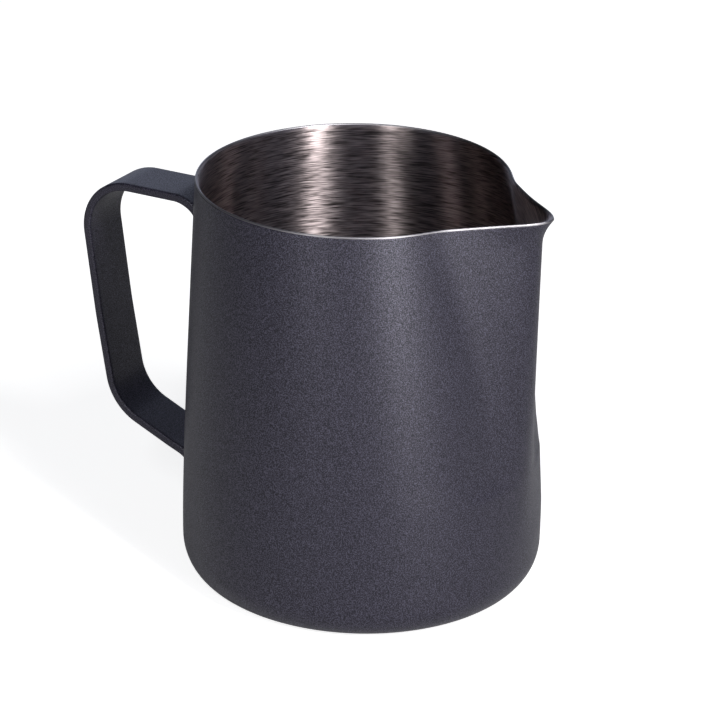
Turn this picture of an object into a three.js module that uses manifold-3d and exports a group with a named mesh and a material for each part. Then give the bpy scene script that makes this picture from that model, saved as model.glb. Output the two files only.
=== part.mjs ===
// Milk frothing pitcher, about 600 ml, in millimetres with +Z up.
// A deep-drawn steel body with a pressed pouring spout, and a bent strap handle spot welded to it.
// The origin is the centre of the base, on the plane it stands on.
// The spout points along +X and the handle along -X.

import * as THREE from 'three';
import { mergeVertices } from 'three/addons/utils/BufferGeometryUtils.js';
import Module from 'manifold-3d';

// ---- Driving dimensions: body ----
const bodyHeight = 104.3;
const rimRadius = 42.8;
const bulgeRadius = 46.65;
const baseFlatRadius = 41.6;
const baseCornerHeight = 7.5;
const wall = 0.9;
const rimCrown = 0.2;               // height of the rounded edge above the rim's two corners
const wallFullness = 2.32;          // how far the lean of the wall swells it out at half height
const bulgeFullness = 0.1;          // how far the bulge swells on above the base corner
const wallFullnessReach = 0.19;     // share of the height up to which the wall stays at the bulge

// ---- Driving dimensions: spout ----
const creaseHeight = 33.5;          // lowest point of the curved crease under the spout
const creaseRise = 7;               // how much higher the crease runs at its two ends
const creaseSpread = 18;            // degrees from the spout line over which it climbs
const creaseBand = 22;              // height over which the bulge bends in to the crease
const creaseCurve = 1.2;            // 1 bends the bulge in evenly, more bends it late
const ridgeRise = 0.35;             // ridge line outside the natural wall at the crease
const lipReach = 47.03;             // ridge line from the axis at the rim, before the lip flares
const lipFlare = 2.8;               // extra reach of the flared lip
const lipFlareHeight = 7.5;
const lipFlareSpread = 11;          // degrees
const rimDip = 1.7;                 // the rim runs this much lower at the spout
const rimDipSpread = 75;            // degrees
const drawInAtCrease = 2.95;        // depth to which the wall is drawn in beside the spout
const drawInAtRim = 8.52;
const drawInCurve = 1.5;            // 1 deepens evenly with height, more deepens late
const drawSpreadAtCrease = 30;      // degrees
const drawSpreadAtRim = 66.3;       // degrees
const cheekAngleAtCrease = 21.8;    // degrees between each cheek's normal and the spout line
const cheekAngleAtRim = 45.5;
const cheekCurve = 0.4;             // 1 turns the cheeks evenly with height, less turns them early
const noseBluntAtCrease = 0.14;     // share of the reach over which the ridge is rounded
const noseBluntAtRim = 0.089;
const valleyBlend = 1.3;            // rounding where a cheek meets the drawn-in wall
const cheekFade = 60;               // degrees past its foot at which a cheek stops falling away

// ---- Driving dimensions: handle and welds ----
const strapWidth = 15;
const strapThickness = 2.2;
const strapEdgeRound = 0.5;
const gripTopReach = 80.9;          // handle axis to strap centre line, at the upper corner
const gripMidReach = 76.1;
const gripMidHeight = 54.6;
const gripLowReach = 71.9;
const armHeight = 91.7;             // centre line of the upper arm
const gripLowHeight = 29.2;
const lowerTabCorner = 18.7;        // height where the lower arm's line meets the wall tab's line
const upperTabEnd = 71.5;
const lowerTabEnd = 8.2;
const topBendRadius = 12.9;
const midBendRadius = 120;
const lowBendRadius = 13.9;
const upperTabBendRadius = 7.5;
const lowerTabBendRadius = 7;
const tabCornerRadius = 4;
const tabGap = 0.3;                 // clearance between each tab and the wall
const weldRadius = 2;
const weldDepth = 0.9;              // how deep each nugget sits in the strap
const weldClearance = 0.3;
const weldProud = 0.15;             // how far each nugget stands out of the tab towards the wall
const weldSpacing = 7.6;
const upperWeldHeight = 77.5;
const lowerWeldHeight = 11.6;

// ---- Fineness ----
const bodySegments = 72;
const spoutCrowding = 0.72;         // 0 spaces the segments evenly, towards 1 crowds them at the spout
const strapSteps = 6;
const bendStep = 11;                // degrees of a bend that one step may turn
const tabSteps = [0, 0.9, 1.8, 2.8, tabCornerRadius];
const tabFade = [0.5, 4.8];         // clear of the strap's own thickness, where the tab's curl fades out
const weldSides = 20;

const degree = Math.PI / 180;
const coatPaint = { color: 0x3f4450, roughness: 0.5, metalness: 0.25 };
const bareSteel = { color: 0xb9bbbd, roughness: 0.35, metalness: 1 };
const pitcher = new THREE.Group();
const wasm = await Module();
wasm.setup();

function mix(low, high, share) {
  return low + (high - low) * share;
}

function clamp01(value) {
  return Math.min(1, Math.max(0, value));
}

function bell(angle, spread) {
  return Math.exp(-((angle / spread) ** 2));
}

// Larger of two values, with the corner between them rounded over a width.
function smoothMax(a, b, width) {
  const share = clamp01(0.5 + (0.5 * (a - b)) / width);
  return mix(b, a, share) + width * share * (1 - share);
}

// ---- Body: profile of revolution ----
// The wall leans in from the bulge above the base corner to the rim in one long curve.
const wallCurve = new THREE.CubicBezierCurve(
  new THREE.Vector2(bulgeRadius, baseCornerHeight),
  new THREE.Vector2(bulgeRadius + bulgeFullness, mix(baseCornerHeight, bodyHeight, wallFullnessReach)),
  new THREE.Vector2(rimRadius + wallFullness, mix(baseCornerHeight, bodyHeight, 0.5)),
  new THREE.Vector2(rimRadius, bodyHeight),
);

function wallRadius(height) {
  if (height < baseCornerHeight) {
    const rise = (baseCornerHeight - height) / baseCornerHeight;
    return mix(baseFlatRadius, bulgeRadius, Math.sqrt(Math.max(0, 1 - rise * rise)));
  }
  let low = 0;
  let high = 1;
  for (let step = 0; step < 40; step += 1) {
    const middle = (low + high) / 2;
    if (wallCurve.getPoint(middle).y < height) {
      low = middle;
    } else {
      high = middle;
    }
  }
  return wallCurve.getPoint(low).x;
}

// ---- Body: spout ----
// Distance from the axis to a flat cheek, whose normal is turned from the spout line.
// Past the foot of the normal the cheek falls away, so that the drawn-in wall takes over.
function cheekRadius(away, cheek, reach, blunt) {
  const facing = Math.min(away, cheek) * degree;
  const across = Math.sqrt(Math.sin(facing) ** 2 + blunt * blunt);
  const slope = Math.cos(facing) * Math.cos(cheek * degree) + across * Math.sin(cheek * degree);
  const distance = (reach * (Math.cos(cheek * degree) + blunt * Math.sin(cheek * degree))) / slope;
  const past = Math.min(Math.max(0, away - cheek), cheekFade);
  return distance * (2 - 1 / Math.cos(past * degree));
}

// Outer radius of the pressed wall at an angle from the spout line (degrees) and a height.
function pressedRadius(angle, height, radius) {
  const away = Math.abs(angle);
  const climb = (height - creaseHeight) / (bodyHeight - creaseHeight);
  const press = clamp01(climb);
  const drawSpread = mix(drawSpreadAtCrease, drawSpreadAtRim, press);
  const depth = mix(drawInAtCrease, drawInAtRim, press ** drawInCurve);
  const drawnIn = radius - depth * bell(away, drawSpread);
  const cheek = mix(cheekAngleAtCrease, cheekAngleAtRim, press ** cheekCurve);
  const blunt = mix(noseBluntAtCrease, noseBluntAtRim, press);
  const reach = mix(wallRadius(creaseHeight) + ridgeRise, lipReach, climb);
  const lip = clamp01((height - bodyHeight + lipFlareHeight) / lipFlareHeight) ** 2;
  const flare = lipFlare * lip * bell(away, lipFlareSpread);
  const section = smoothMax(drawnIn, cheekRadius(away, cheek, reach, blunt), valleyBlend) + flare;
  const creaseTop = creaseHeight + creaseRise * (1 - bell(away, creaseSpread));
  const pressed = clamp01((height - creaseTop + creaseBand) / creaseBand) ** creaseCurve;
  return mix(radius, section, pressed);
}

function outerPoint(angle, height, radius) {
  const reach = pressedRadius(angle, height, radius);
  const lowered = rimDip * bell(angle, rimDipSpread) * (height / bodyHeight) ** 3;
  return new THREE.Vector3(
    reach * Math.cos(angle * degree),
    reach * Math.sin(angle * degree),
    height - lowered,
  );
}

// Outer profile from the edge of the flat base up to the rim, as heights with their radii.
function outerProfile() {
  const heights = [];
  const cornerSteps = 5;
  for (let step = 0; step < cornerSteps; step += 1) {
    heights.push(baseCornerHeight * (1 - Math.cos((step / cornerSteps) * 90 * degree)));
  }
  const stretches = [
    [baseCornerHeight, creaseHeight - creaseBand, 1],
    [creaseHeight - creaseBand, creaseHeight, 6],
    [creaseHeight, creaseHeight + creaseRise, 4],
    [creaseHeight + creaseRise, bodyHeight - lipFlareHeight, 7],
    [bodyHeight - lipFlareHeight, bodyHeight, 5],
  ];
  for (const [from, to, steps] of stretches) {
    for (let step = 0; step < steps; step += 1) {
      heights.push(mix(from, to, step / steps));
    }
  }
  heights.push(bodyHeight);
  return heights.map((height) => new THREE.Vector2(wallRadius(height), height));
}

// Angle from the spout line for each segment, crowded near the spout.
function segmentAngle(index) {
  const turn = (2 * index) / bodySegments - 1;
  return 180 * (turn - (spoutCrowding * Math.sin(Math.PI * turn)) / Math.PI);
}

function outwardNormal(angle, spot, below, above) {
  const side = 0.25;
  const left = outerPoint(angle - side, spot.y, spot.x);
  const right = outerPoint(angle + side, spot.y, spot.x);
  const low = outerPoint(angle, below.y, below.x);
  const high = outerPoint(angle, above.y, above.x);
  return right.sub(left).cross(high.sub(low)).normalize();
}

// The lathe gives the closed skin of the shell, and each of its points then moves to the pressed shape.
function pitcherBody() {
  const outer = outerProfile();
  const inner = outer.map((spot) => new THREE.Vector2(spot.x - wall, spot.y + wall)).reverse();
  const crest = new THREE.Vector2(rimRadius - wall / 2, bodyHeight + wall);
  const skin = [new THREE.Vector2(0, 0), ...outer, crest, ...inner, new THREE.Vector2(0, wall)];
  const shell = new THREE.LatheGeometry(skin, bodySegments);
  const place = shell.getAttribute('position');
  for (let segment = 0; segment <= bodySegments; segment += 1) {
    const angle = segmentAngle(segment % bodySegments);
    const face = [];
    const back = [];
    outer.forEach((spot, index) => {
      const below = outer[Math.max(0, index - 1)];
      const above = outer[Math.min(outer.length - 1, index + 1)];
      const point = outerPoint(angle, spot.y, spot.x);
      const normal = outwardNormal(angle, spot, below, above);
      face.push(point);
      back.push(point.clone().addScaledVector(normal, -wall));
    });
    back[0] = face[0].clone().setZ(wall);
    const edge = face.at(-1).clone().add(back.at(-1)).multiplyScalar(0.5);
    edge.z += rimCrown;
    const floor = new THREE.Vector3(0, 0, wall);
    const row = [new THREE.Vector3(), ...face, edge, ...back.reverse(), floor];
    row.forEach((point, index) => {
      place.setXYZ(segment * skin.length + index, point.x, point.y, point.z);
    });
  }
  return closedGeometry(shell);
}

// ---- Solids ----
function closedGeometry(geometry) {
  const bare = geometry.clone();
  for (const name of Object.keys(bare.attributes)) {
    if (name !== 'position') {
      bare.deleteAttribute(name);
    }
  }
  return mergeVertices(bare, 1e-4);
}

function toSolid(geometry) {
  const closed = closedGeometry(geometry);
  const vertProperties = new Float32Array(closed.getAttribute('position').array);
  const triVerts = new Uint32Array(closed.getIndex().array);
  return new wasm.Manifold(new wasm.Mesh({ numProp: 3, vertProperties, triVerts }));
}

function fromSolid(solid) {
  const mesh = solid.getMesh();
  const geometry = new THREE.BufferGeometry();
  geometry.setAttribute('position', new THREE.BufferAttribute(mesh.vertProperties, 3));
  geometry.setIndex(new THREE.BufferAttribute(mesh.triVerts, 1));
  return geometry;
}

// ---- Handle ----
// Centre line of the strap's side view: distance out from the body's axis, and height.
function strapCorners() {
  const offset = tabGap + strapThickness / 2;
  return [
    { at: new THREE.Vector2(wallRadius(upperTabEnd) + offset, upperTabEnd), bend: 0 },
    { at: new THREE.Vector2(wallRadius(armHeight) + offset, armHeight), bend: upperTabBendRadius },
    { at: new THREE.Vector2(gripTopReach, armHeight), bend: topBendRadius },
    { at: new THREE.Vector2(gripMidReach, gripMidHeight), bend: midBendRadius },
    { at: new THREE.Vector2(gripLowReach, gripLowHeight), bend: lowBendRadius },
    {
      at: new THREE.Vector2(wallRadius(lowerTabCorner) + offset, lowerTabCorner),
      bend: lowerTabBendRadius,
    },
    { at: new THREE.Vector2(wallRadius(lowerTabEnd) + offset, lowerTabEnd), bend: 0 },
  ];
}

// Points along the rounded centre line, each with the direction square to it.
function strapLine() {
  const corners = strapCorners();
  const line = [];
  corners.forEach(({ at, bend }, index) => {
    if (bend === 0) {
      return;
    }
    const before = corners[index - 1].at.clone().sub(at).normalize();
    const after = corners[index + 1].at.clone().sub(at).normalize();
    const half = Math.acos(THREE.MathUtils.clamp(before.dot(after), -1, 1)) / 2;
    const inward = before.clone().add(after).normalize();
    const centre = at.clone().addScaledVector(inward, bend / Math.sin(half));
    const turn = Math.PI - 2 * half;
    const start = at.clone().addScaledVector(before, bend / Math.tan(half)).sub(centre);
    const hand = Math.sign(before.cross(after)) || 1;
    const steps = Math.max(3, Math.ceil(turn / (bendStep * degree)));
    for (let step = 0; step <= steps; step += 1) {
      const spoke = start.clone().rotateAround(new THREE.Vector2(), (-hand * turn * step) / steps);
      const square = spoke.clone().normalize().multiplyScalar(-hand);
      line.push({ at: centre.clone().add(spoke), square });
    }
  });
  const head = tabSteps.map((along) => tabPoint(upperTabEnd + along, line[0].square));
  const tail = tabSteps.map((along) => tabPoint(lowerTabEnd + along, line.at(-1).square));
  return [...head, ...line, ...tail.reverse()];
}

// The tabs follow the wall's own curve.
function tabPoint(height, square) {
  return { at: new THREE.Vector2(wallRadius(height) + tabGap + strapThickness / 2, height), square };
}

// A flat bar bent on edge in side view, then its tabs curled round the wall and rounded at their ends.
function handleStrap() {
  const line = strapLine();
  const half = strapThickness / 2;
  const oneFace = line.map(({ at, square }) => at.clone().addScaledVector(square, half));
  const otherFace = line.map(({ at, square }) => at.clone().addScaledVector(square, -half));
  const outline = new THREE.Shape([...oneFace, ...otherFace.reverse()]);
  const bar = new THREE.ExtrudeGeometry(outline, {
    depth: strapWidth - 2 * strapEdgeRound,
    steps: strapSteps,
    bevelThickness: strapEdgeRound,
    bevelSize: strapEdgeRound,
    bevelOffset: -strapEdgeRound,
    bevelSegments: 2,
  });
  bar.translate(0, 0, strapEdgeRound - strapWidth / 2);
  const place = bar.getAttribute('position');
  for (let index = 0; index < place.count; index += 1) {
    const height = place.getY(index);
    const out = place.getX(index);
    const end = height > bodyHeight / 2 ? upperTabEnd : lowerTabEnd;
    const clear = out - wallRadius(height) - tabGap - strapThickness;
    const onTab = 1 - THREE.MathUtils.smoothstep(clear, ...tabFade);
    const across = place.getZ(index) * mix(1, tabWidthShare(height - end), onTab);
    const round = wallRadius(height) + tabGap;
    const curl = round - Math.sqrt(round * round - across * across);
    place.setXYZ(index, -(out - curl * onTab), across, height);
  }
  let solid = toSolid(bar);
  for (const spot of weldSpots()) {
    const pocket = weldDisc(spot, weldRadius + weldClearance, 0, tabGap + weldDepth + weldClearance);
    solid = solid.subtract(toSolid(pocket));
  }
  return fromSolid(solid);
}

// Width left at a distance from the tab's end, as a share of the full width.
function tabWidthShare(fromEnd) {
  const inCorner = THREE.MathUtils.clamp(tabCornerRadius - fromEnd, 0, tabCornerRadius);
  const narrowing = tabCornerRadius - Math.sqrt(tabCornerRadius ** 2 - inCorner ** 2);
  return 1 - narrowing / (strapWidth / 2);
}

// ---- Spot welds ----
function weldSpots() {
  const spots = [];
  for (const height of [upperWeldHeight, lowerWeldHeight]) {
    for (const side of [-1, 1]) {
      spots.push({ height, across: (side * weldSpacing) / 2 });
    }
  }
  return spots;
}

// A disc square to the wall, from a distance outside it to a depth in the strap.
function weldDisc(spot, radius, start, depth) {
  const disc = new THREE.CylinderGeometry(radius, radius, depth, weldSides);
  const around = Math.asin(spot.across / wallRadius(spot.height));
  disc.rotateZ(Math.PI / 2);
  disc.translate(-(wallRadius(spot.height) + start + depth / 2), 0, 0);
  disc.rotateZ(-around);
  disc.translate(0, 0, spot.height);
  return disc;
}

function spotWeld(spot) {
  return weldDisc(spot, weldRadius, tabGap - weldProud, weldDepth + weldProud);
}

function addPart(name, geometry, paint) {
  const finished = geometry.index ? geometry : closedGeometry(geometry);
  const part = new THREE.Mesh(finished, new THREE.MeshStandardMaterial(paint));
  part.name = name;
  pitcher.add(part);
}

addPart('pitcher_body', pitcherBody(), coatPaint);
addPart('handle_strap', handleStrap(), coatPaint);
const weldNames = ['upper_left', 'upper_right', 'lower_left', 'lower_right'];
weldSpots().forEach((spot, index) => {
  addPart(`spot_weld_${weldNames[index]}`, spotWeld(spot), bareSteel);
});

export default pitcher;
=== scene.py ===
"""Milk frothing pitcher: a powder-coated drawn steel body with a pressed spout, and a welded strap handle."""
import math

import bpy
import numpy as np
from bpy.props import FloatProperty, FloatVectorProperty, PointerProperty
from mathutils import Matrix, Vector


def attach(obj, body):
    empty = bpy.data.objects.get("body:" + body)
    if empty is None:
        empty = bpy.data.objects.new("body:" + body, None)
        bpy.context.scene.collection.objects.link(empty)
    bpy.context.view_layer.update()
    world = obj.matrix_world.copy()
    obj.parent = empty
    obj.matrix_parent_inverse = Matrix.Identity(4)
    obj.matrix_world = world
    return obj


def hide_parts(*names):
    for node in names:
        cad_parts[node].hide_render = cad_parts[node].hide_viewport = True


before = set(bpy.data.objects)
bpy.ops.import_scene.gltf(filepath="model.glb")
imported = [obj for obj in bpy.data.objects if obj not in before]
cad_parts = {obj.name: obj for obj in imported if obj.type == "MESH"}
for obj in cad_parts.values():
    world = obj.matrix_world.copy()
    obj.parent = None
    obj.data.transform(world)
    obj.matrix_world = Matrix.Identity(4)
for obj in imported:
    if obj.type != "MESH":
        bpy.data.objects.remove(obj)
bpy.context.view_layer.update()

bl_info = {
    "name": "Milk Frothing Pitcher",
    "version": (1, 0, 0),
    "blender": (4, 5, 0),
    "location": "View3D > Sidebar > Pitcher",
    "description": "Builds a powder-coated milk pitcher with a pressed spout and a welded strap handle",
    "category": "Add Mesh",
}

MM = 0.001


def linear(hex_colour):
    """An sRGB hex colour as a linear RGBA tuple."""
    channels = [int(hex_colour[index:index + 2], 16) / 255 for index in (1, 3, 5)]
    return tuple(c / 12.92 if c <= 0.04045 else ((c + 0.055) / 1.055) ** 2.4 for c in channels) + (1.0,)


def length(name, description, millimetres):
    """A length property, with its default given in millimetres."""
    return FloatProperty(name=name, description=description, default=millimetres * MM, subtype="DISTANCE",
                         unit="LENGTH", precision=5)


def turn(name, description, degrees):
    """An angle property, with its default given in degrees."""
    return FloatProperty(name=name, description=description, default=math.radians(degrees), subtype="ANGLE",
                         unit="ROTATION")


def colour(name, description, hex_colour):
    """A colour property, with its default given as sRGB hex."""
    return FloatVectorProperty(name=name, description=description, default=linear(hex_colour), size=4,
                               subtype="COLOR", min=0, max=1)


# ---- Sizes and colours ----

class PitcherBodySizes(bpy.types.PropertyGroup):
    """Sizes of the drawn body."""
    height: length("Height", "Base to rim away from the spout", 104.3)
    rim_radius: length("Rim radius", "Outside radius at the rim, away from the spout", 42.8)
    bulge_radius: length("Bulge radius", "Widest outside radius, just above the base corner", 46.65)
    base_radius: length("Base radius", "Radius of the flat base", 41.6)
    corner_height: length("Base corner", "Height of the rolled corner between base and wall", 7.5)
    bulge_fullness: length("Bulge fullness", "How far the curve's lower control is outside the bulge", 0.1)
    wall_fullness: length("Wall fullness", "How far the curve's upper control is outside the rim", 2.3207)
    bulge_reach: FloatProperty(name="Bulge reach", default=0.19,
                               description="Share of the wall's height at which the lower control sits")
    wall: length("Wall", "Thickness of the sheet", 0.9)
    edge_width: length("Rim edge", "Width of the flat left on the trimmed edge after deburring", 0.58)
    rim_crown: length("Rim crown", "Rounding of the trimmed edge", 0.33)
    rim_corner: length("Rim corner", "How far inside the coat's face the trimmed edge starts", 0.02)
    coat_thickness: length("Coat", "Thickness of the powder coat", 0.09)
    coat_seat: length("Coat seat", "Space left between the coat and the steel", 0.018)
    coat_end: length("Coat end", "Bare edge left above the coat at the rim", 0.12)


class PitcherSpoutSizes(bpy.types.PropertyGroup):
    """Sizes of the spout pressed into the wall."""
    crease_height: length("Crease height", "Lowest point of the crease under the spout", 33.5)
    crease_rise: length("Crease rise", "How much higher the crease runs at its ends", 7)
    crease_spread: turn("Crease spread", "Turn over which the crease climbs", 18)
    crease_band: length("Crease band", "Height over which the bulge bends in to the crease", 22)
    crease_curve: FloatProperty(name="Crease curve", default=1.2,
                                description="1 bends the bulge in evenly, more bends it late")
    ridge_rise: length("Ridge rise", "Ridge line outside the bulge, at the crease", 0.35)
    lip_reach: length("Lip reach", "Ridge line from the axis at the rim, before the lip flares", 47.03)
    lip_flare: length("Lip flare", "Extra reach of the flared lip", 2.8)
    flare_height: length("Flare height", "Height over which the lip flares", 7.5)
    flare_spread: turn("Flare spread", "Half width of the flare", 11)
    rim_dip: length("Rim dip", "How much lower the rim runs at the spout", 1.7)
    dip_spread: turn("Dip spread", "Half width of the dip", 75)
    draw_low: length("Draw-in, crease", "Depth of the drawn-in wall beside the spout, at the crease", 2.95)
    draw_high: length("Draw-in, rim", "Depth of the drawn-in wall beside the spout, at the rim", 8.52)
    draw_curve: FloatProperty(name="Draw-in curve", default=1.5,
                              description="1 deepens evenly with height, more deepens late")
    draw_spread_low: turn("Draw-in spread, crease", "Half width of the drawn-in wall at the crease", 30)
    draw_spread_high: turn("Draw-in spread, rim", "Half width of the drawn-in wall at the rim", 66.3)
    cheek_low: turn("Cheek angle, crease", "Turn of each cheek from the spout line at the crease", 21.8)
    cheek_high: turn("Cheek angle, rim", "Turn of each cheek from the spout line at the rim", 45.5)
    cheek_curve: FloatProperty(name="Cheek curve", default=0.4,
                               description="1 turns evenly with height, less turns early")
    cheek_fade: turn("Cheek fade", "Turn past a cheek's foot over which it falls away", 60)
    blunt_low: FloatProperty(name="Nose, crease", default=0.14,
                             description="Share of the reach that the ridge is rounded over")
    blunt_high: FloatProperty(name="Nose, rim", default=0.089,
                              description="Share of the reach that the lip is rounded over")
    valley_blend: length("Valley blend", "Rounding where a cheek meets the drawn-in wall", 1.3)


class PitcherHandleSizes(bpy.types.PropertyGroup):
    """Sizes of the strap handle and its spot welds."""
    width: length("Strap width", "Width of the flat bar", 15)
    thickness: length("Strap thickness", "Thickness of the flat bar", 2.2)
    edge_round: length("Edge round", "Rounding of the bar's long edges", 0.55)
    top_reach: length("Upper corner reach", "Body axis to the strap's centre line at its upper corner", 80.9)
    mid_reach: length("Grip reach", "Body axis to the strap's centre line at the middle of the grip", 76.1)
    mid_height: length("Grip middle", "Height of the middle of the grip", 54.6)
    low_reach: length("Lower corner reach", "Body axis to the strap's centre line at its lower corner", 71.9)
    arm_height: length("Arm height", "Height of the upper arm's centre line", 91.7)
    low_height: length("Lower corner height", "Height of the lower corner", 29.2)
    tab_corner: length("Lower tab corner", "Height where the lower arm meets the wall", 18.7)
    upper_end: length("Upper tab end", "Height of the upper tab's end", 71.5)
    lower_end: length("Lower tab end", "Height of the lower tab's end", 8.2)
    upper_tab_bend: length("Upper tab bend", "Bend radius from the upper arm to its tab", 7.5)
    top_bend: length("Top bend", "Bend radius of the upper corner", 12.9)
    mid_bend: length("Grip bend", "Bend radius in the middle of the grip", 120)
    low_bend: length("Lower bend", "Bend radius of the lower corner", 13.9)
    lower_tab_bend: length("Lower tab bend", "Bend radius from the lower arm to its tab", 7)
    tab_corner_radius: length("Tab corners", "Radius of the tabs' corners", 4)
    tab_gap: length("Tab seat", "Coat left between each tab and the wall", 0.03)
    weld_radius: length("Weld mark radius", "Radius of the mark that the welding tip leaves", 2.4)
    weld_mark: length("Weld mark depth", "Depth of the mark that the welding tip leaves", 0.12)
    weld_spacing: length("Weld spacing", "Distance between the two welds of a tab", 7.6)
    upper_weld: length("Upper welds", "Height of the upper welds", 77.5)
    lower_weld: length("Lower welds", "Height of the lower welds", 11.6)


class PitcherColours(bpy.types.PropertyGroup):
    """Colours of the finishes and of the stage."""
    coat: colour("Powder coat", "Slate grey coat on the outside", "#0E0C19")
    flake: colour("Coat flake", "Metal flake in the coat", "#464352")
    steel: colour("Brushed steel", "Bare brushed steel inside", "#9F9392")
    edge: colour("Cut edge", "Bare trimmed edge of the rim", "#8E8B8D")
    floor: colour("Floor", "Studio floor", "#D8D8D8")


# ---- Materials ----

def new_material(name):
    """An empty node material with its output, and the output node."""
    material = bpy.data.materials.new(name)
    material.use_nodes = True
    material.node_tree.nodes.clear()
    return material, add_node(material, "ShaderNodeOutputMaterial")


def add_node(owner, kind, settings=None, links=None):
    """A node with its settings, and links from other nodes' outputs to its inputs."""
    tree = owner.node_tree
    node = tree.nodes.new(kind)
    for name, value in (settings or {}).items():
        if isinstance(name, int) or name in node.inputs:
            node.inputs[name].default_value = value
        else:
            setattr(node, name, value)
    for name, source in (links or {}).items():
        tree.links.new(source, node.inputs[name])
    return node


def add_link(owner, source, output):
    """Joins a shader to the output node."""
    owner.node_tree.links.new(source, output.inputs["Surface"])


def powder_coat(colours):
    """Polyester powder coat with metal flake, sprayed and baked: dark, speckled, with a broad soft gloss."""
    material, output = new_material("powder_coated_steel_slate_metallic")
    place = add_node(material, "ShaderNodeTexCoord").outputs["Object"]
    # Flake and powder grain are about 0.1 mm, drawn at 0.25 mm so that the speckle shows.
    grain = add_node(material, "ShaderNodeTexNoise",
                     {"Scale": 1 / (0.25 * MM), "Detail": 0.5, "Roughness": 0.6},
                     {"Vector": place}).outputs["Fac"]
    # The baked film flows into a soft orange peel about 3 mm across.
    peel = add_node(material, "ShaderNodeTexNoise", {"Scale": 1 / (3 * MM), "Detail": 1.0}, {"Vector": place})
    speckle = add_node(material, "ShaderNodeMapRange",
                       {"From Min": 0.4, "From Max": 0.68, "To Min": 0.0, "To Max": 1.0}, {"Value": grain})
    tint = add_node(material, "ShaderNodeMix", {"data_type": "RGBA", 6: colours.coat, 7: colours.flake},
                    {0: speckle.outputs["Result"]})
    gloss = add_node(material, "ShaderNodeMapRange",
                     {"From Min": 0.3, "From Max": 0.7, "To Min": 0.5, "To Max": 0.4}, {"Value": grain})
    rough = add_node(material, "ShaderNodeBump", {"Strength": 0.35, "Distance": 0.03 * MM}, {"Height": grain})
    flow = add_node(material, "ShaderNodeBump", {"Strength": 0.4, "Distance": 0.02 * MM},
                    {"Height": peel.outputs["Fac"], "Normal": rough.outputs["Normal"]})
    shader = add_node(material, "ShaderNodeBsdfPrincipled", {"Metallic": 0.35, "IOR": 1.52},
                      {"Base Color": tint.outputs[2], "Roughness": gloss.outputs["Result"],
                       "Normal": flow.outputs["Normal"]})
    add_link(material, shader.outputs["BSDF"], output)
    return material


def brushed_steel(colours):
    """Stainless steel sheet, brushed round the axis on a lathe: level scratches, upright streaks of light."""
    material, output = new_material("stainless_steel_304_spin_brushed")
    place = add_node(material, "ShaderNodeTexCoord").outputs["Object"]
    parts = add_node(material, "ShaderNodeSeparateXYZ", None, {"Vector": place})
    flat = add_node(material, "ShaderNodeVectorMath", {"operation": "MULTIPLY", 1: (1, 1, 0)}, {0: place})
    radius = add_node(material, "ShaderNodeVectorMath", {"operation": "LENGTH"}, {0: flat.outputs["Vector"]})
    profile = add_node(material, "ShaderNodeMath", {"operation": "ADD"},
                       {0: parts.outputs["Z"], 1: radius.outputs["Value"]})
    along = add_node(material, "ShaderNodeCombineXYZ", None,
                     {"X": parts.outputs["X"], "Y": parts.outputs["Y"], "Z": profile.outputs["Value"]})
    # Scratches are 0.05 mm wide and several millimetres long, drawn 0.25 mm wide so that they show.
    stretch = add_node(material, "ShaderNodeVectorMath",
                       {"operation": "MULTIPLY", 1: (1 / (5 * MM), 1 / (5 * MM), 1 / (0.25 * MM))},
                       {0: along.outputs["Vector"]})
    scratch = add_node(material, "ShaderNodeTexNoise", {"Scale": 1.0, "Detail": 2.0, "Roughness": 0.5},
                       {"Vector": stretch.outputs["Vector"]}).outputs["Fac"]
    shade = add_node(material, "ShaderNodeMapRange",
                     {"From Min": 0.3, "From Max": 0.7, "To Min": 0.3, "To Max": 1.65}, {"Value": scratch})
    tint = add_node(material, "ShaderNodeVectorMath", {"operation": "SCALE", 0: colours.steel[:3]},
                    {"Scale": shade.outputs["Result"]})
    gloss = add_node(material, "ShaderNodeMapRange",
                     {"From Min": 0.3, "From Max": 0.7, "To Min": 0.3, "To Max": 0.44}, {"Value": scratch})
    groove = add_node(material, "ShaderNodeBump", {"Strength": 0.3, "Distance": 0.01 * MM},
                      {"Height": scratch})
    round_axis = add_node(material, "ShaderNodeTangent", {"direction_type": "RADIAL", "axis": "Z"})
    # A quarter turn lays the scratches round the axis, so each lamp shows as an upright streak.
    shader = add_node(material, "ShaderNodeBsdfPrincipled",
                      {"Metallic": 1.0, "Anisotropic": 1.0, "Anisotropic Rotation": 0.25},
                      {"Base Color": tint.outputs["Vector"], "Roughness": gloss.outputs["Result"],
                       "Normal": groove.outputs["Normal"], "Tangent": round_axis.outputs["Tangent"]})
    add_link(material, shader.outputs["BSDF"], output)
    return material


def bare_steel(name, colours):
    """Stainless steel left bare, rubbed with a fine belt: bright, with a soft and slightly uneven gloss."""
    material, output = new_material(name)
    place = add_node(material, "ShaderNodeTexCoord").outputs["Object"]
    # Belt marks are about 0.2 mm, drawn at 0.6 mm so that they show.
    marks = add_node(material, "ShaderNodeTexNoise", {"Scale": 1 / (0.6 * MM), "Detail": 2.0},
                     {"Vector": place})
    gloss = add_node(material, "ShaderNodeMapRange",
                     {"From Min": 0.3, "From Max": 0.7, "To Min": 0.36, "To Max": 0.44},
                     {"Value": marks.outputs["Fac"]})
    shader = add_node(material, "ShaderNodeBsdfPrincipled", {"Base Color": colours.edge, "Metallic": 1.0},
                      {"Roughness": gloss.outputs["Result"]})
    add_link(material, shader.outputs["BSDF"], output)
    return material


# ---- Body shape ----

# Fineness of the body's mesh: points round each ring, crowded at the spout, and rings up the wall.
WALL_CURVE_POINTS = 800
RING_POINTS = 320
SPOUT_CROWDING = 0.6
CORNER_RINGS = 15
WALL_RINGS = 100
LIP_RINGS = 26
LIP_HEIGHT = 10 * MM
RIM_STEPS = 7


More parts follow.
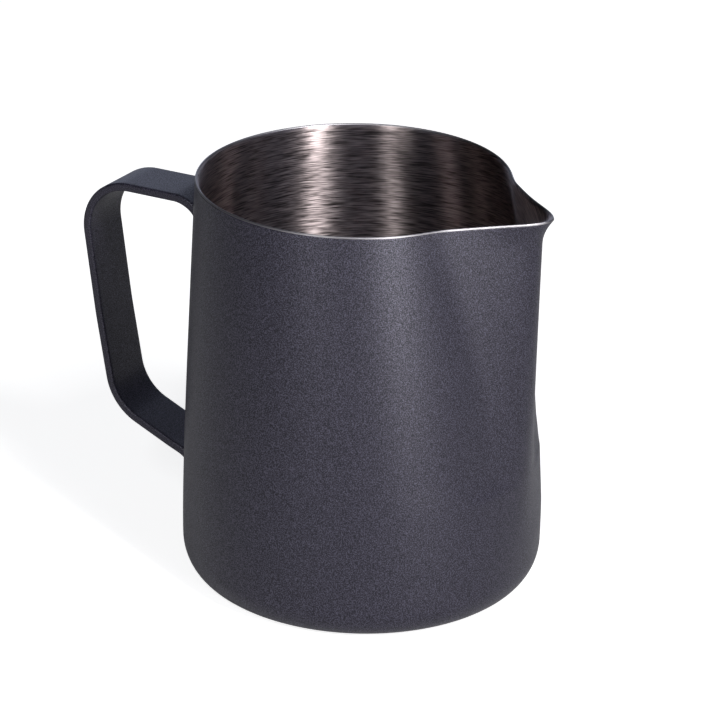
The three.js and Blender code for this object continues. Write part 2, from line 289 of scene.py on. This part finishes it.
def bell(away, spread):
    """A smooth hump: one in the middle, falling off over a spread."""
    return np.exp(-(away / spread) ** 2)


def mix(low, high, share):
    """The value at a share of the way from low to high."""
    return low + (high - low) * share


def smooth_max(a, b, width):
    """Larger of two values, with the corner between them rounded over a width."""
    share = np.clip(0.5 + 0.5 * (a - b) / width, 0, 1)
    return mix(b, a, share) + width * share * (1 - share)


def wall_radius(body, height):
    """Outside radius of the wall before the spout is pressed: a rolled corner, then one long curve."""
    low, high = body.corner_height, body.height
    share = np.linspace(0, 1, WALL_CURVE_POINTS)
    reach = (body.bulge_radius, body.bulge_radius + body.bulge_fullness,
             body.rim_radius + body.wall_fullness, body.rim_radius)
    climb = (low, mix(low, high, body.bulge_reach), mix(low, high, 0.5), high)
    weights = ((1 - share) ** 3, 3 * share * (1 - share) ** 2, 3 * share ** 2 * (1 - share), share ** 3)
    curve = sum(w * r for w, r in zip(weights, reach))
    level = sum(w * c for w, c in zip(weights, climb))
    rise = np.clip((low - height) / low, 0, 1)
    corner = mix(body.base_radius, body.bulge_radius, np.sqrt(1 - rise ** 2))
    return np.where(height < low, corner, np.interp(height, level, curve))


def cheek_radius(away, cheek, reach, blunt, fade):
    """Axis to a flat cheek of the spout, which falls away past the foot of its normal."""
    facing = np.minimum(away, cheek)
    across = np.sqrt(np.sin(facing) ** 2 + blunt ** 2)
    slope = np.cos(facing) * np.cos(cheek) + across * np.sin(cheek)
    distance = reach * (np.cos(cheek) + blunt * np.sin(cheek)) / slope
    past = np.clip(away - cheek, 0, fade)
    return distance * (2 - 1 / np.cos(past))


def pressed_radius(body, spout, angle, height):
    """Outside radius of the finished wall at an angle from the spout line and a height."""
    radius = wall_radius(body, height)
    away = np.abs(angle)
    climb = (height - spout.crease_height) / (body.height - spout.crease_height)
    press = np.clip(climb, 0, 1)
    draw_spread = mix(spout.draw_spread_low, spout.draw_spread_high, press)
    draw_in = mix(spout.draw_low, spout.draw_high, press ** spout.draw_curve) * bell(away, draw_spread)
    cheek = mix(spout.cheek_low, spout.cheek_high, press ** spout.cheek_curve)
    blunt = mix(spout.blunt_low, spout.blunt_high, press)
    ridge_foot = wall_radius(body, spout.crease_height) + spout.ridge_rise
    reach = mix(ridge_foot, spout.lip_reach, climb)
    lip = np.clip((height - body.height + spout.flare_height) / spout.flare_height, 0, 1) ** 2
    flare = spout.lip_flare * lip * bell(away, spout.flare_spread)
    cheeks = cheek_radius(away, cheek, reach, blunt, spout.cheek_fade)
    section = smooth_max(radius - draw_in, cheeks, spout.valley_blend) + flare
    crease_top = spout.crease_height + spout.crease_rise * (1 - bell(away, spout.crease_spread))
    bent = np.clip((height - crease_top + spout.crease_band) / spout.crease_band, 0, 1)
    pressed = bent ** spout.crease_curve
    return mix(radius, section, pressed)


def outer_surface(body, spout, angles, heights):
    """Points and outward normals of the outside, as rows of rings."""
    angle, height = np.meshgrid(angles, heights)
    reach = pressed_radius(body, spout, angle, height)
    lowered = spout.rim_dip * bell(angle, spout.dip_spread) * (height / body.height) ** 3
    points = np.stack((reach * np.cos(angle), reach * np.sin(angle), height - lowered), axis=-1)
    around = np.roll(points, -1, axis=1) - np.roll(points, 1, axis=1)
    upward = np.gradient(points, axis=0)
    normals = np.cross(around, upward)
    return points, normals / np.linalg.norm(normals, axis=-1, keepdims=True)


def ring_angles():
    """Angles round the body, crowded near the spout at angle zero."""
    turns = np.arange(RING_POINTS) * 2 / RING_POINTS - 1
    return math.pi * turns - SPOUT_CROWDING * np.sin(math.pi * turns)


def ring_heights(body):
    """Heights of the rings, finer at the base corner and the lip."""
    low, high = body.corner_height, body.height
    corner = low * (1 - np.cos(np.linspace(0, math.pi / 2, CORNER_RINGS)))
    wall = np.linspace(low, high - LIP_HEIGHT, WALL_RINGS)[1:]
    lip = np.linspace(high - LIP_HEIGHT, high, LIP_RINGS)[1:]
    return np.concatenate((corner, wall, lip))


def ring_mesh(name, rings, first, last, rim_rows=()):
    """A closed skin through rings of points, with a fan to a centre point at each end."""
    count = len(rings[0])
    points = [tuple(point) for ring in rings for point in ring] + [first, last]
    first_centre, last_centre = len(points) - 2, len(points) - 1
    faces = []
    marks = []
    for row in range(len(rings) - 1):
        for column in range(count):
            step = (column + 1) % count
            faces.append((row * count + column, row * count + step,
                          (row + 1) * count + step, (row + 1) * count + column))
            marks.append(1 if row in rim_rows else 0)
    for column in range(count):
        step = (column + 1) % count
        end = (len(rings) - 1) * count
        faces.append((first_centre, step, column))
        faces.append((last_centre, end + column, end + step))
        marks.extend((0, 0))
    mesh = bpy.data.meshes.new(name)
    mesh.from_pydata(points, [], faces)
    mesh.polygons.foreach_set("use_smooth", [True] * len(faces))
    mesh.polygons.foreach_set("material_index", marks)
    mesh.update()
    return place_piece(name, mesh)


def place_piece(name, mesh):
    """An object for a mesh, riding on the pitcher."""
    piece = bpy.data.objects.new(name, mesh)
    bpy.context.scene.collection.objects.link(piece)
    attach(piece, "root")
    return piece


class PITCHER_OT_steel_body(bpy.types.Operator):
    """Builds the drawn steel body: base, wall, spout, rim edge and the bare inside"""
    bl_idname = "pitcher.steel_body"
    bl_label = "Steel Body"

    def execute(self, context):
        body, spout = context.scene.pitcher_body, context.scene.pitcher_spout
        colours = context.scene.pitcher_colours
        points, normals = outer_surface(body, spout, ring_angles(), ring_heights(body))
        under_coat = body.coat_thickness + body.coat_seat
        outside = points - normals * under_coat
        outside[0] = points[0] + (0, 0, under_coat)
        inside = points - normals * body.wall
        inside[0] = points[0] + (0, 0, body.wall)
        inside[-1] = points[-1] - normals[-1] * body.edge_width
        outer_corner = points[-1] - normals[-1] * body.rim_corner
        crest = [mix(outer_corner, inside[-1], share) + (0, 0, body.rim_crown * math.sin(math.pi * share))
                 for share in np.linspace(0, 1, RIM_STEPS)]
        rings = list(outside[:-1]) + crest + list(inside[-2::-1])
        rim_start = len(outside) - 2
        piece = ring_mesh("drawn_steel_body", rings, (0, 0, under_coat), (0, 0, body.wall),
                          range(rim_start, rim_start + len(crest)))
        piece.data.materials.append(brushed_steel(colours))
        piece.data.materials.append(bare_steel("stainless_steel_304_deburred_edge", colours))
        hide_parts("pitcher_body")
        return {"FINISHED"}


class PITCHER_OT_powder_coat(bpy.types.Operator):
    """Builds the powder coat film on the outside of the body, which ends at the bare rim"""
    bl_idname = "pitcher.powder_coat"
    bl_label = "Powder Coat"

    def execute(self, context):
        body, spout = context.scene.pitcher_body, context.scene.pitcher_spout
        heights = ring_heights(body)
        heights[-1] = body.height - body.coat_end
        points, normals = outer_surface(body, spout, ring_angles(), heights)
        back = points - normals * body.coat_thickness
        back[0] = points[0] + (0, 0, body.coat_thickness)
        rings = list(points) + list(back[::-1])
        piece = ring_mesh("powder_coat_film", rings, (0, 0, 0), (0, 0, body.coat_thickness))
        piece.data.materials.append(powder_coat(context.scene.pitcher_colours))
        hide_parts("pitcher_body")
        return {"FINISHED"}


# ---- Handle shape ----

# Fineness of the strap's mesh.
BEND_STEP = math.radians(4)
SHORTEST_BEND_STEPS = 6
LINE_STEP = 0.8 * MM
EDGE_STEPS = 5
FACE_STEPS = 22
# Rings of a tab's rounded end, as shares of the edge round, and how far past it the even steps begin.
END_STEPS = (0, 0.08, 0.25, 0.5, 0.75)
END_CLEARANCE = 1.05
END_RINGS = 12
# A rounded end keeps a little radius at its very tip, and its faces draw in a little less than its edges.
TIP_RADIUS = 0.04 * MM
FACE_ROUND = 0.9
# The tabs follow the wall: how far in from the grip they lie, and the room left for each bend.
TAB_ZONE = 20 * MM
BEND_MARGIN = 1.5 * MM
LOWER_TAB_MARGIN = 4 * MM
# The bar uncurls as it leaves the wall: where that starts, and over what distance.
LIFT_START = 0.5 * MM
LIFT_BLEND = 6 * MM
# How steeply a weld mark's sides fall: 1 is a bowl, more gives it a flat bottom.
WELD_MARK_SIDES = 2.5


def strap_line(body, handle):
    """Points of the strap's centre line in side view: straight runs between round bends."""
    offset = handle.tab_gap + handle.thickness / 2

    def on_wall(height):
        return Vector((float(wall_radius(body, height)) + offset, height))

    corners = [
        (on_wall(handle.upper_end), 0),
        (on_wall(handle.arm_height), handle.upper_tab_bend),
        (Vector((handle.top_reach, handle.arm_height)), handle.top_bend),
        (Vector((handle.mid_reach, handle.mid_height)), handle.mid_bend),
        (Vector((handle.low_reach, handle.low_height)), handle.low_bend),
        (on_wall(handle.tab_corner), handle.lower_tab_bend),
        (on_wall(handle.lower_end), 0),
    ]
    line = [corners[0][0]]
    for index in range(1, len(corners) - 1):
        at, bend = corners[index]
        before = (corners[index - 1][0] - at).normalized()
        after = (corners[index + 1][0] - at).normalized()
        half = before.angle(after) / 2
        centre = at + (before + after).normalized() * (bend / math.sin(half))
        start = at + before * (bend / math.tan(half)) - centre
        end = at + after * (bend / math.tan(half)) - centre
        sweep = start.angle_signed(end)
        steps = max(SHORTEST_BEND_STEPS, math.ceil(abs(sweep) / BEND_STEP))
        for step in range(steps + 1):
            turned = -sweep * step / steps
            line.append(centre + Matrix.Rotation(turned, 2) @ start)
    line.append(corners[-1][0])
    return line


def fine_line(body, handle):
    """The centre line in short steps, with its tabs on the wall's curve and closer steps at its ends."""
    line = strap_line(body, handle)
    fine = []
    for here, there in zip(line, line[1:]):
        steps = max(1, math.ceil((there - here).length / LINE_STEP))
        fine.extend(here.lerp(there, step / steps) for step in range(steps))
    fine.append(line[-1])
    offset = handle.tab_gap + handle.thickness / 2
    wall_side = handle.mid_reach - TAB_ZONE
    # The rounded ends get rings of their own, so the evenly spaced points there are left out.
    ends = [share * handle.edge_round for share in END_STEPS]
    past_end = handle.edge_round * END_CLEARANCE
    upper = [Vector((0, handle.upper_end + gap)) for gap in ends]
    lower = [Vector((0, handle.lower_end + gap)) for gap in reversed(ends)]
    inner = [spot for spot in fine
             if spot.y > handle.lower_end + past_end
             and not (spot.x < wall_side
                      and handle.upper_end - MM < spot.y < handle.upper_end + past_end)]
    fine = upper + inner + lower
    bend_foot = handle.arm_height - handle.upper_tab_bend - BEND_MARGIN
    for spot in fine:
        on_upper = spot.x < wall_side and handle.upper_end - MM < spot.y < bend_foot
        on_lower = spot.y < handle.tab_corner - LOWER_TAB_MARGIN
        if on_upper or on_lower:
            spot.x = float(wall_radius(body, spot.y)) + offset
    return fine


def bar_section(half_width, half_thickness, radius):
    """Loop of a flat bar's cross section, as across and outward offsets."""
    loop = []
    corners = ((1, 1), (-1, 1), (-1, -1), (1, -1))
    for index, (across, out) in enumerate(corners):
        for step in range(EDGE_STEPS + 1):
            swing = math.radians(90 * index + 90 * step / EDGE_STEPS)
            loop.append((across * (half_width - radius) + radius * math.cos(swing),
                         out * (half_thickness - radius) + radius * math.sin(swing)))
        following = corners[(index + 1) % 4]
        if following[0] != across:
            edge = loop[-1]
            span = 2 * (half_width - radius)
            loop.extend((edge[0] - across * span * step / FACE_STEPS, edge[1])
                        for step in range(1, FACE_STEPS))
    return loop


def strap_mesh(body, handle):
    """Sweeps the bar along its line, curls the tabs round the wall and presses the weld marks."""
    line = fine_line(body, handle)
    half_width, half_thickness = handle.width / 2, handle.thickness / 2
    points = []
    for index, spot in enumerate(line):
        ahead = line[min(index + 1, len(line) - 1)] - line[max(index - 1, 0)]
        outward = Vector((ahead.y, -ahead.x)).normalized()
        tab_end = handle.upper_end if spot.y > handle.mid_height else handle.lower_end
        near_end = index < END_RINGS or index > len(line) - END_RINGS
        depth = min(spot.y - tab_end, handle.edge_round) if near_end else handle.edge_round
        inset = handle.edge_round - math.sqrt(handle.edge_round ** 2 - (handle.edge_round - depth) ** 2)
        radius = max(handle.edge_round - inset, TIP_RADIUS)
        for across, out in bar_section(half_width - inset, half_thickness - inset * FACE_ROUND, radius):
            reach, height = spot.x + outward.x * out, spot.y + outward.y * out
            points.append(shape_tab(body, handle, reach, across, height, tab_end, out))
    count = len(points) // len(line)
    faces = []
    for row in range(len(line) - 1):
        for column in range(count):
            step = (column + 1) % count
            faces.append((row * count + column, (row + 1) * count + column,
                          (row + 1) * count + step, row * count + step))
    faces.append(tuple(range(count)))
    faces.append(tuple(reversed(range((len(line) - 1) * count, len(line) * count))))
    mesh = bpy.data.meshes.new("strap_handle")
    mesh.from_pydata(points, [], faces)
    mesh.polygons.foreach_set("use_smooth", [True] * len(faces))
    mesh.update()
    return mesh


def shape_tab(body, handle, reach, across, height, tab_end, out):
    """A point of the bar after the tab is curled, its end rounded and its weld marks pressed."""
    wall = float(wall_radius(body, max(height, 0)))
    clear = min(1, max(0, (reach - wall - handle.thickness - LIFT_START) / LIFT_BLEND))
    on_tab = 1 - clear * clear * (3 - 2 * clear)
    in_corner = min(handle.tab_corner_radius, max(0, handle.tab_corner_radius - (height - tab_end)))
    narrowed = handle.tab_corner_radius - math.sqrt(handle.tab_corner_radius ** 2 - in_corner ** 2)
    across *= 1 - on_tab * narrowed / (handle.width / 2)
    round_wall = wall + handle.tab_gap
    curl = round_wall - math.sqrt(round_wall ** 2 - across ** 2)
    reach -= curl * on_tab
    if out > 0 and on_tab > 0.5:
        for weld_height in (handle.upper_weld, handle.lower_weld):
            for side in (-0.5, 0.5):
                away = math.hypot(across - side * handle.weld_spacing, height - weld_height)
                away /= handle.weld_radius
                reach -= handle.weld_mark * min(1, max(0, WELD_MARK_SIDES * (1 - away * away)))
    return (-reach, across, height)


class PITCHER_OT_strap_handle(bpy.types.Operator):
    """Builds the bent strap handle with its curled tabs and weld marks"""
    bl_idname = "pitcher.strap_handle"
    bl_label = "Strap Handle"

    def execute(self, context):
        body, handle = context.scene.pitcher_body, context.scene.pitcher_handle
        piece = place_piece("strap_handle", strap_mesh(body, handle))
        coat = bpy.data.materials.get("powder_coated_steel_slate_metallic")
        piece.data.materials.append(coat or powder_coat(context.scene.pitcher_colours))
        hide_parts("handle_strap")
        return {"FINISHED"}


class PITCHER_OT_spot_welds(bpy.types.Operator):
    """Gives the four spot welds between the tabs and the wall their bare steel"""
    bl_idname = "pitcher.spot_welds"
    bl_label = "Spot Welds"

    def execute(self, context):
        steel = bare_steel("stainless_steel_304_weld_nugget", context.scene.pitcher_colours)
        for name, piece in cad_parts.items():
            if name.startswith("spot_weld"):
                for slot in piece.material_slots:
                    slot.material = steel
        return {"FINISHED"}


# ---- Stage ----

# How bright the floor glows to the camera and to reflections, and the room's soft light on matt surfaces.
FLOOR_SEEN = 0.8
FLOOR_REFLECTED = 0.14
SOFT_LIGHT = 0.07
FLOOR_HALF_SIDE = 4.0
FLOOR_DROP = 0.2 * MM
LIGHT_AIM = (0, 0, 0.05)
LIGHT_DISTANCE = 1.2


def studio_floor(colours):
    """White vinyl sweep, matt: plain white to the camera, only a dim grey in reflections."""
    material, output = new_material("white_vinyl_sweep")
    path = add_node(material, "ShaderNodeLightPath")
    seen = add_node(material, "ShaderNodeMath", {"operation": "MULTIPLY", 1: FLOOR_SEEN},
                    {0: path.outputs["Is Camera Ray"]})
    lift = add_node(material, "ShaderNodeMath", {"operation": "MULTIPLY_ADD", 1: FLOOR_REFLECTED},
                    {0: path.outputs["Is Glossy Ray"], 2: seen.outputs["Value"]})
    matt = add_node(material, "ShaderNodeBsdfDiffuse", {"Color": colours.floor})
    glow = add_node(material, "ShaderNodeEmission", {"Color": (1, 1, 1, 1)},
                    {"Strength": lift.outputs["Value"]})
    both = add_node(material, "ShaderNodeAddShader", None,
                    {0: matt.outputs["BSDF"], 1: glow.outputs["Emission"]})
    add_link(material, both.outputs["Shader"], output)
    return material


def studio_world():
    """Studio room: plain white to the camera, soft on matt surfaces, walls and curtain in reflections."""
    world = bpy.data.worlds.new("studio_surroundings")
    world.use_nodes = True
    world.node_tree.nodes.clear()
    output = add_node(world, "ShaderNodeOutputWorld")
    path = add_node(world, "ShaderNodeLightPath")
    place = add_node(world, "ShaderNodeTexCoord").outputs["Generated"]
    height = add_node(world, "ShaderNodeSeparateXYZ", None, {"Vector": place}).outputs["Z"]
    level = add_node(world, "ShaderNodeVectorMath", {"operation": "MULTIPLY", 1: (1, 1, 0)}, {0: place})
    heading = add_node(world, "ShaderNodeVectorMath", {"operation": "NORMALIZE"},
                       {0: level.outputs["Vector"]})

    def toward(degrees):
        """How squarely a ray heads towards an azimuth, measured from the front."""
        azimuth = math.radians(degrees)
        direction = (math.sin(azimuth), -math.cos(azimuth), 0)
        return add_node(world, "ShaderNodeVectorMath", {"operation": "DOT_PRODUCT", 1: direction},
                        {0: heading.outputs["Vector"]}).outputs["Value"]

    # Pale low walls under a dimmer ceiling, brighter high up on the right.
    walls = add_node(world, "ShaderNodeMapRange",
                     {"From Min": 0.05, "From Max": 0.35, "To Min": 0.22, "To Max": 0.13}, {"Value": height})
    right_side = add_node(world, "ShaderNodeMapRange",
                          {"From Min": 0.3, "From Max": 1.0, "To Min": 0.0, "To Max": 0.5},
                          {"Value": toward(80)})
    high = add_node(world, "ShaderNodeMapRange", {"From Min": 0.3, "From Max": 0.6}, {"Value": height})
    lit_walls = add_node(world, "ShaderNodeMath", {"operation": "MULTIPLY_ADD"},
                         {0: right_side.outputs["Result"], 1: high.outputs["Result"],
                          2: walls.outputs["Result"]})
    # A dark curtain on the handle side.
    curtain = add_node(world, "ShaderNodeMapRange",
                       {"From Min": 0.66, "From Max": 0.78, "To Min": 1.0, "To Max": 0.0},
                       {"Value": toward(-95)})
    sides = add_node(world, "ShaderNodeMath", {"operation": "MULTIPLY"},
                     {0: lit_walls.outputs["Value"], 1: curtain.outputs["Result"]})
    # A pale sweep behind the pitcher, up to a top edge.
    behind = add_node(world, "ShaderNodeMapRange",
                      {"From Min": 0.75, "From Max": 0.95, "To Min": 0.0, "To Max": 1.0},
                      {"Value": toward(207)})
    top = add_node(world, "ShaderNodeMapRange",
                   {"From Min": 0.5, "From Max": 0.75, "To Min": 0.85, "To Max": 0.0}, {"Value": height})
    sweep = add_node(world, "ShaderNodeMath", {"operation": "MULTIPLY"},
                     {0: behind.outputs["Result"], 1: top.outputs["Result"]})
    walls_and_sweep = add_node(world, "ShaderNodeMath", {"operation": "MAXIMUM"},
                               {0: sides.outputs["Value"], 1: sweep.outputs["Value"]})
    glossy = add_node(world, "ShaderNodeMath", {"operation": "MAXIMUM"},
                      {0: path.outputs["Is Glossy Ray"], 1: path.outputs["Is Transmission Ray"]})
    room = add_node(world, "ShaderNodeMix", {"data_type": "FLOAT", 2: SOFT_LIGHT},
                    {0: glossy.outputs["Value"], 3: walls_and_sweep.outputs["Value"]})
    seen = add_node(world, "ShaderNodeMix", {"data_type": "FLOAT", 3: 1.0},
                    {0: path.outputs["Is Camera Ray"], 2: room.outputs[0]})
    # The room's light is cool.
    cast = add_node(world, "ShaderNodeMix",
                    {"data_type": "RGBA", 6: (0.8, 0.88, 1.1, 1), 7: (1, 1, 1, 1)},
                    {0: path.outputs["Is Camera Ray"]})
    surround = add_node(world, "ShaderNodeBackground", None,
                        {"Color": cast.outputs[2], "Strength": seen.outputs[0]})
    add_link(world, surround.outputs["Background"], output)
    return world


def add_softbox(name, azimuth, elevation, size, power):
    """A rectangular softbox that faces the middle of the pitcher, placed by its angles from the front."""
    light = bpy.data.lights.new(name, "AREA")
    light.shape = "RECTANGLE"
    light.size, light.size_y = size
    light.energy = power
    lamp = bpy.data.objects.new(name, light)
    bpy.context.scene.collection.objects.link(lamp)
    turned, raised = math.radians(azimuth), math.radians(elevation)
    outward = math.cos(raised)
    away = Vector((math.sin(turned) * outward, -math.cos(turned) * outward, math.sin(raised)))
    lamp.location = Vector(LIGHT_AIM) + away * LIGHT_DISTANCE
    lamp.rotation_euler = away.to_track_quat("Z", "Y").to_euler()


class PITCHER_OT_stage(bpy.types.Operator):
    """Builds the white floor, the soft studio light and the camera"""
    bl_idname = "pitcher.stage"
    bl_label = "Stage"

    def execute(self, context):
        scene = context.scene
        mesh = bpy.data.meshes.new("studio_floor")
        side = FLOOR_HALF_SIDE
        corners = [(-side, -side, 0), (side, -side, 0), (side, side, 0), (-side, side, 0)]
        mesh.from_pydata(corners, [], [(0, 1, 2, 3)])
        mesh.materials.append(studio_floor(scene.pitcher_colours))
        floor = bpy.data.objects.new("studio_floor", mesh)
        scene.collection.objects.link(floor)
        floor.location.z = -FLOOR_DROP
        scene.world = studio_world()
        add_softbox("strip_light_low_right", 62, 4.5, (0.2, 0.2), 6.6)
        add_softbox("strip_light_low_front", 2, 4.5, (0.35, 0.2), 2.0)
        add_softbox("softbox_right", 68, 41, (0.14, 0.6), 10.4)
        add_softbox("softbox_front", 8, 38, (0.12, 0.6), 3.2)
        scene.view_settings.view_transform = "Standard"
        camera = bpy.data.cameras.new("studio_camera")
        camera.lens = 126.4
        camera.sensor_width = 36
        camera.clip_start = 0.01
        view = bpy.data.objects.new("studio_camera", camera)
        scene.collection.objects.link(view)
        place = Vector((0.2701, -0.5150, 0.3127))
        ahead = (Vector((-0.0020, -0.00106, 0.0564)) - place).normalized()
        level = ahead.cross(Vector((0, 0, 1))).normalized()
        above = level.cross(ahead)
        roll = math.radians(1.05)
        right = level * math.cos(roll) + above * math.sin(roll)
        up = above * math.cos(roll) - level * math.sin(roll)
        turned = Matrix((right, up, -ahead)).transposed().to_4x4()
        view.matrix_world = Matrix.Translation(place) @ turned
        scene.camera = view
        return {"FINISHED"}


class PITCHER_PT_pitcher(bpy.types.Panel):
    """Sizes, colours and build steps of the pitcher"""
    bl_label = "Milk Frothing Pitcher"
    bl_idname = "PITCHER_PT_pitcher"
    bl_space_type = "VIEW_3D"
    bl_region_type = "UI"
    bl_category = "Pitcher"

    def draw(self, context):
        layout = self.layout
        for group in ("pitcher_body", "pitcher_spout", "pitcher_handle", "pitcher_colours"):
            settings = getattr(context.scene, group)
            box = layout.box()
            for name in settings.__annotations__:
                box.prop(settings, name)
        for step in STEPS:
            layout.operator(step.bl_idname)


GROUPS = {"pitcher_body": PitcherBodySizes, "pitcher_spout": PitcherSpoutSizes,
          "pitcher_handle": PitcherHandleSizes, "pitcher_colours": PitcherColours}
STEPS = (PITCHER_OT_powder_coat, PITCHER_OT_steel_body, PITCHER_OT_strap_handle, PITCHER_OT_spot_welds,
         PITCHER_OT_stage)


def register():
    for group in (*GROUPS.values(), *STEPS, PITCHER_PT_pitcher):
        bpy.utils.register_class(group)
    for name, group in GROUPS.items():
        setattr(bpy.types.Scene, name, PointerProperty(type=group))


def unregister():
    for name in GROUPS:
        delattr(bpy.types.Scene, name)
    for group in (PITCHER_PT_pitcher, *reversed(STEPS), *reversed(list(GROUPS.values()))):
        bpy.utils.unregister_class(group)


def main():
    register()
    bpy.ops.pitcher.powder_coat()
    bpy.ops.pitcher.steel_body()
    bpy.ops.pitcher.strap_handle()
    bpy.ops.pitcher.spot_welds()
    bpy.ops.pitcher.stage()


if __name__ == "__main__":
    main()
